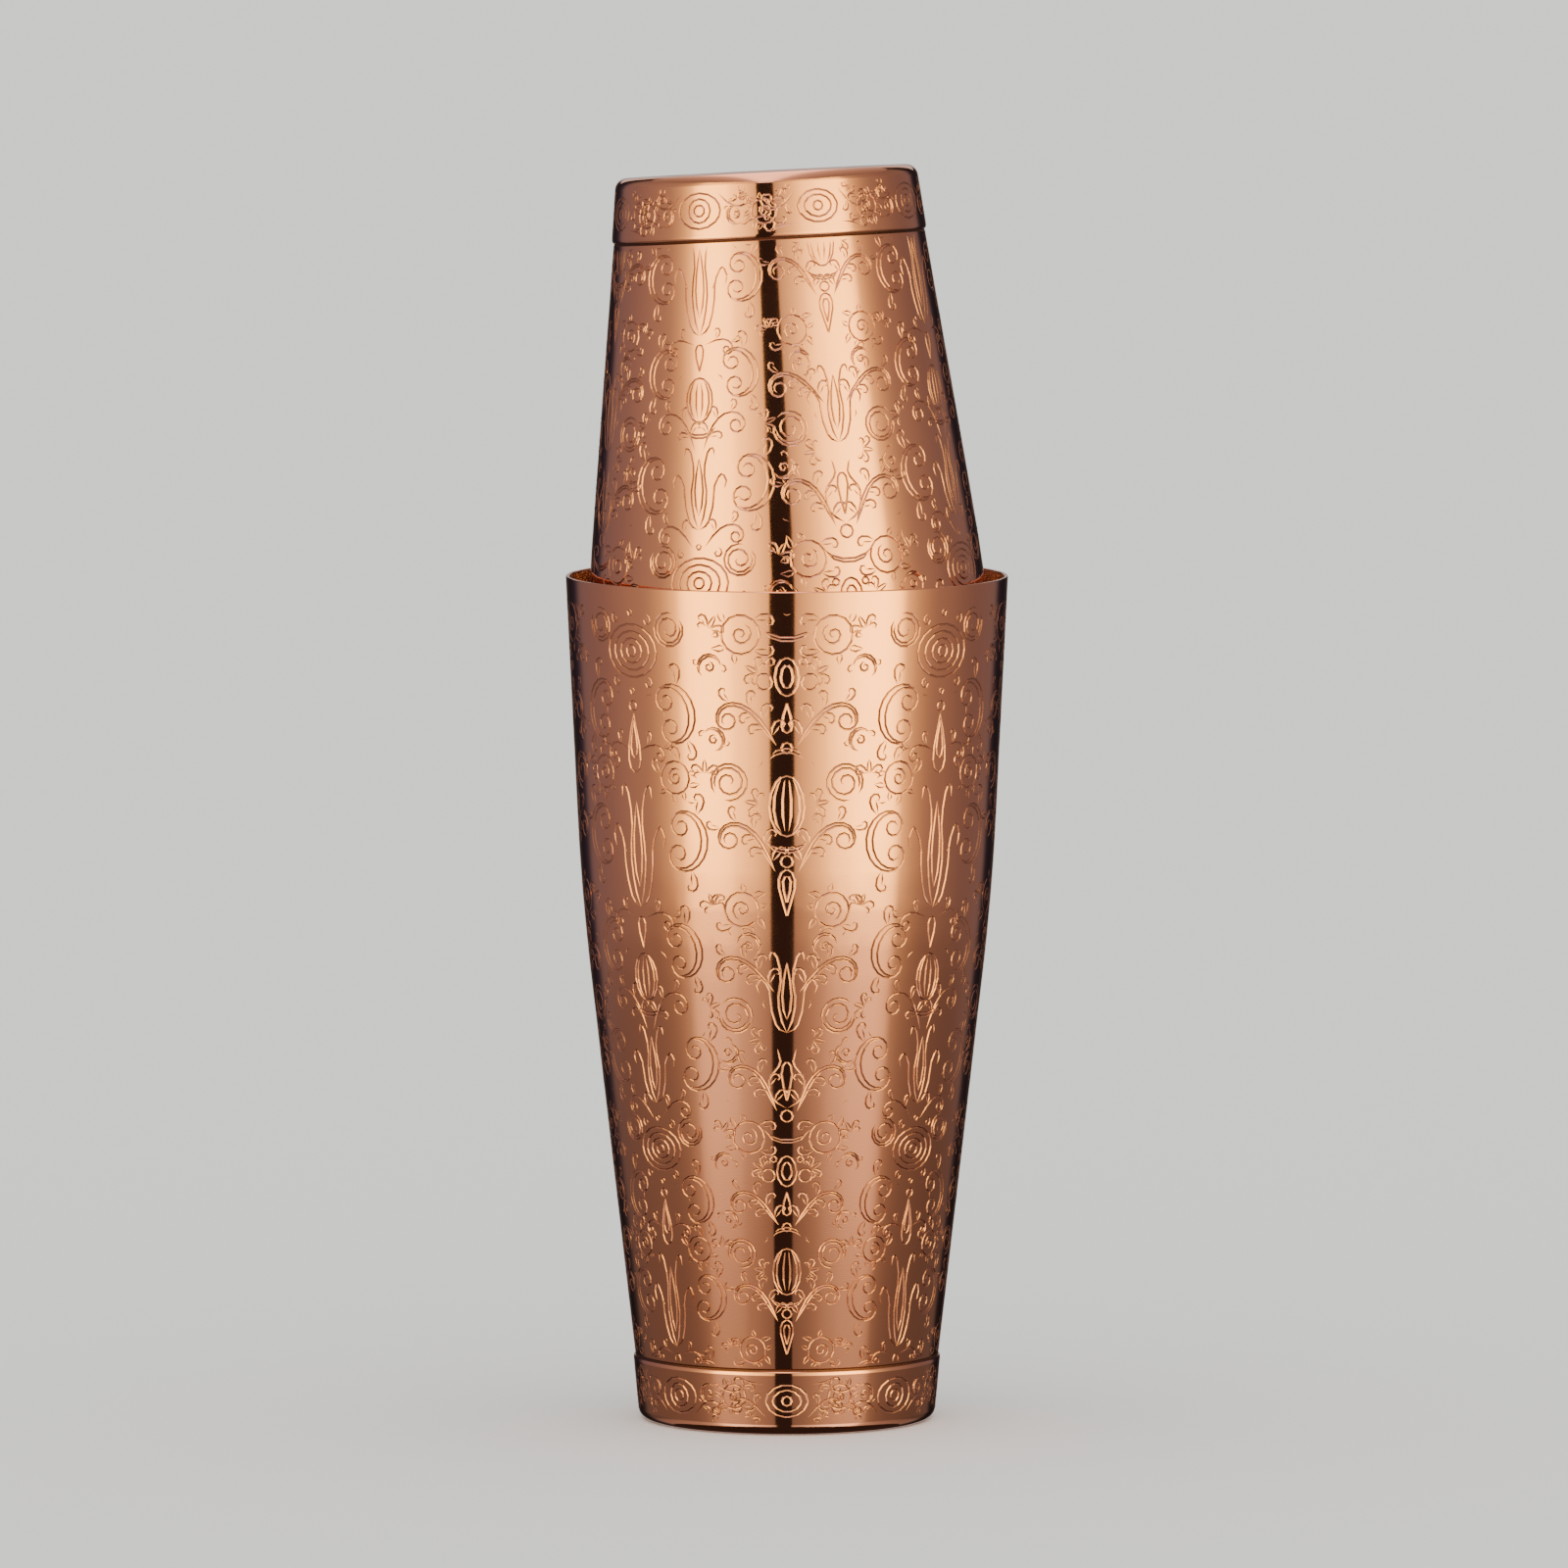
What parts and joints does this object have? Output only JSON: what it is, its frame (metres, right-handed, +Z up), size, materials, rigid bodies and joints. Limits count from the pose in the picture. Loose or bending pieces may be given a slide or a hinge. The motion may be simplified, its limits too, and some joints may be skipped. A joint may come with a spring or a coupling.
{
  "type": "cocktail shaker set",
  "caption": "Two-piece metal cocktail shaker: a weighted large tin with a smaller weighted tin wedged upside down in its mouth, engraved all over.",
  "frame": {"origin": "centre of the face that the large tin stands on", "axes": "+Z up along the large tin's axis; the small tin leans towards -X and +Y"},
  "size_m": [0.0924, 0.0924, 0.2631],
  "materials": {
    "tin_metal": "mirror-polished copper plating on stainless steel, engraved",
    "weight_steel": "plain turned steel",
    "glue": "cured epoxy, matte"
  },
  "bodies": {
    "large_tin": {"large_tin_body": "tin_metal", "large_tin_base_cap": "tin_metal", "large_tin_weight": "weight_steel", "large_tin_glue_layer": "glue"},
    "small_tin": {"small_tin_body": "tin_metal", "small_tin_base_cap": "tin_metal", "small_tin_weight": "weight_steel", "small_tin_glue_layer": "glue"}
  },
  "joints": [
    {"name": "small_tin_lift", "type": "slide", "parent": "large_tin", "child": "small_tin", "axis": [0, 0, 1], "range_m": [0, 0.12]}
  ]
}
